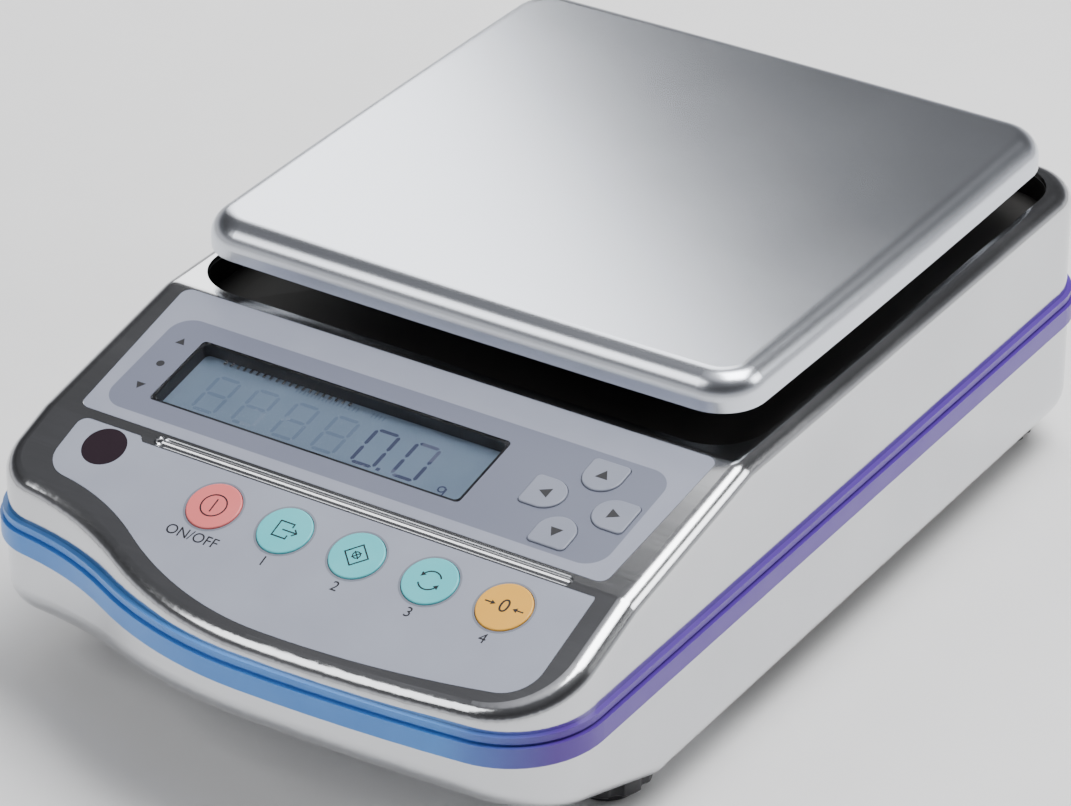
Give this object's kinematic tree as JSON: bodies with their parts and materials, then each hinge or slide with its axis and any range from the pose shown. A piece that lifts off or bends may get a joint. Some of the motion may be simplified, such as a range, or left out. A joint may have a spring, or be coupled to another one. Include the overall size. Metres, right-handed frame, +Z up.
{
  "type": "top-loading balance",
  "caption": "Top-loading balance with a square steel pan, sloping display and key faces, and levelling feet.",
  "frame": {"origin": "middle of the footprint, on the bench under the feet", "axes": "+Z up, the keys face -Y, +X to the right of someone who reads the display"},
  "size_m": [0.1976, 0.3066, 0.105],
  "materials": {
    "steel": "satin",
    "pan_steel": "polished",
    "seal": "satin",
    "overlay": "matte",
    "clear": "gloss",
    "black_plastic": "matte",
    "lcd": "gloss",
    "backlight": "matte",
    "bright_metal": "bright",
    "board": "matte",
    "vial": "gloss",
    "bubble": "gloss",
    "rubber": "matte",
    "aluminium": "cast",
    "cable": "matte",
    "key_red": "satin",
    "key_cyan": "satin",
    "key_orange": "satin",
    "key_grey": "satin"
  },
  "bodies": {
    "case": {"upper_case": "steel", "lower_case": "steel", "case_gasket": "seal", "display_panel": "overlay", "key_panel": "overlay", "display_window": "clear", "lcd_frame": "black_plastic", "lcd_glass": "lcd", "lcd_backlight": "backlight", "lcd_pins": "bright_metal", "display_board": "board", "key_board": "board", "switch_domes": "bright_metal", "level_holder": "black_plastic", "level_vial": "vial", "level_bubble": "bubble", "level_window": "clear", "column_boot": "rubber", "chassis": "aluminium", "fixed_frame": "aluminium", "tuning_fork": "bright_metal", "main_board": "board", "ribbon_cable": "cable", "power_inlet": "black_plastic", "serial_port": "bright_metal", "case_screws": "bright_metal", "frame_screws": "bright_metal", "board_screws": "bright_metal", "foot_nuts": "bright_metal", "overload_stop": "bright_metal"},
    "support": {"pan_support": "aluminium", "pan_bumpers": "rubber", "support_column": "bright_metal", "moving_block": "aluminium"},
    "pan": {"pan": "pan_steel"},
    "upper_guide": {"upper_guide": "bright_metal"},
    "lower_guide": {"lower_guide": "bright_metal"},
    "lever": {"lever": "aluminium"},
    "key_on_off": {"key_on_off": "key_red"},
    "key_print": {"key_print": "key_cyan"},
    "key_set": {"key_set": "key_cyan"},
    "key_function": {"key_function": "key_cyan"},
    "key_zero_tare": {"key_zero_tare": "key_orange"},
    "key_up": {"key_up": "key_grey"},
    "key_left": {"key_left": "key_grey"},
    "key_down": {"key_down": "key_grey"},
    "key_right": {"key_right": "key_grey"},
    "foot_pad_front_left": {"foot_pad_front_left": "rubber"},
    "foot_knob_front_left": {"foot_knob_front_left": "black_plastic"},
    "foot_pad_front_right": {"foot_pad_front_right": "rubber"},
    "foot_knob_front_right": {"foot_knob_front_right": "black_plastic"},
    "foot_pad_back_left": {"foot_pad_back_left": "rubber"},
    "foot_knob_back_left": {"foot_knob_back_left": "black_plastic"},
    "foot_pad_back_right": {"foot_pad_back_right": "rubber"},
    "foot_knob_back_right": {"foot_knob_back_right": "black_plastic"}
  },
  "joints": [
    {"name": "support_sink", "type": "slide", "parent": "case", "child": "support", "axis": [0, 0, 1], "range_m": [-0.0003, 0], "stiffness_N_per_m": 40000, "springref_m": 0.0004},
    {"name": "pan_lift", "type": "slide", "parent": "support", "child": "pan", "axis": [0, 0, 1], "range_m": [0, 0.04]},
    {"name": "upper_guide_tilt", "type": "hinge", "parent": "case", "child": "upper_guide", "pos_m": [0, 0.1097, 0.0622], "axis": [1, 0, 0], "range_deg": [0, 0.34]},
    {"name": "lower_guide_tilt", "type": "hinge", "parent": "case", "child": "lower_guide", "pos_m": [0, 0.1097, 0.0302], "axis": [1, 0, 0], "range_deg": [0, 0.34]},
    {"name": "lever_tilt", "type": "hinge", "parent": "case", "child": "lever", "pos_m": [0, 0.076, 0.0415], "axis": [1, 0, 0], "range_deg": [0, 0.97]},
    {"name": "key_on_off_press", "type": "slide", "parent": "case", "child": "key_on_off", "axis": [0, 0.342, -0.9397], "range_m": [0, 0.0004], "stiffness_N_per_m": 2000, "springref_m": -0.0001},
    {"name": "key_print_press", "type": "slide", "parent": "case", "child": "key_print", "axis": [0, 0.342, -0.9397], "range_m": [0, 0.0004], "stiffness_N_per_m": 2000, "springref_m": -0.0001},
    {"name": "key_set_press", "type": "slide", "parent": "case", "child": "key_set", "axis": [0, 0.342, -0.9397], "range_m": [0, 0.0004], "stiffness_N_per_m": 2000, "springref_m": -0.0001},
    {"name": "key_function_press", "type": "slide", "parent": "case", "child": "key_function", "axis": [0, 0.342, -0.9397], "range_m": [0, 0.0004], "stiffness_N_per_m": 2000, "springref_m": -0.0001},
    {"name": "key_zero_tare_press", "type": "slide", "parent": "case", "child": "key_zero_tare", "axis": [0, 0.342, -0.9397], "range_m": [0, 0.0004], "stiffness_N_per_m": 2000, "springref_m": -0.0001},
    {"name": "key_up_press", "type": "slide", "parent": "case", "child": "key_up", "axis": [0, 0.1994, -0.9799], "range_m": [0, 0.0004], "stiffness_N_per_m": 2000, "springref_m": -0.0001},
    {"name": "key_left_press", "type": "slide", "parent": "case", "child": "key_left", "axis": [0, 0.1994, -0.9799], "range_m": [0, 0.0004], "stiffness_N_per_m": 2000, "springref_m": -0.0001},
    {"name": "key_down_press", "type": "slide", "parent": "case", "child": "key_down", "axis": [0, 0.1994, -0.9799], "range_m": [0, 0.0004], "stiffness_N_per_m": 2000, "springref_m": -0.0001},
    {"name": "key_right_press", "type": "slide", "parent": "case", "child": "key_right", "axis": [0, 0.1994, -0.9799], "range_m": [0, 0.0004], "stiffness_N_per_m": 2000, "springref_m": -0.0001},
    {"name": "foot_pad_front_left_slide", "type": "slide", "parent": "case", "child": "foot_pad_front_left", "axis": [0, 0, 1], "range_m": [-0.005, 0]},
    {"name": "foot_knob_front_left_turn", "type": "hinge", "parent": "foot_pad_front_left", "child": "foot_knob_front_left", "pos_m": [-0.0755, -0.083, 0.006], "axis": [0, 0, 1], "range_deg": [-1800, 0]},
    {"name": "foot_pad_front_right_slide", "type": "slide", "parent": "case", "child": "foot_pad_front_right", "axis": [0, 0, 1], "range_m": [-0.005, 0]},
    {"name": "foot_knob_front_right_turn", "type": "hinge", "parent": "foot_pad_front_right", "child": "foot_knob_front_right", "pos_m": [0.0755, -0.083, 0.006], "axis": [0, 0, 1], "range_deg": [-1800, 0]},
    {"name": "foot_pad_back_left_slide", "type": "slide", "parent": "case", "child": "foot_pad_back_left", "axis": [0, 0, 1], "range_m": [-0.005, 0]},
    {"name": "foot_knob_back_left_turn", "type": "hinge", "parent": "foot_pad_back_left", "child": "foot_knob_back_left", "pos_m": [-0.0755, 0.1335, 0.006], "axis": [0, 0, 1], "range_deg": [-1800, 0]},
    {"name": "foot_pad_back_right_slide", "type": "slide", "parent": "case", "child": "foot_pad_back_right", "axis": [0, 0, 1], "range_m": [-0.005, 0]},
    {"name": "foot_knob_back_right_turn", "type": "hinge", "parent": "foot_pad_back_right", "child": "foot_knob_back_right", "pos_m": [0.0755, 0.1335, 0.006], "axis": [0, 0, 1], "range_deg": [-1800, 0]}
  ],
  "couplings": [
    {"joint": "upper_guide_tilt", "follows": "support_sink", "rad_per_m": -19.342},
    {"joint": "lower_guide_tilt", "follows": "support_sink", "rad_per_m": -19.342},
    {"joint": "lever_tilt", "follows": "support_sink", "rad_per_m": -55.556},
    {"joint": "foot_knob_front_left_turn", "follows": "foot_pad_front_left_slide", "rad_per_m": 6283.2},
    {"joint": "foot_knob_front_right_turn", "follows": "foot_pad_front_right_slide", "rad_per_m": 6283.2},
    {"joint": "foot_knob_back_left_turn", "follows": "foot_pad_back_left_slide", "rad_per_m": 6283.2},
    {"joint": "foot_knob_back_right_turn", "follows": "foot_pad_back_right_slide", "rad_per_m": 6283.2}
  ]
}
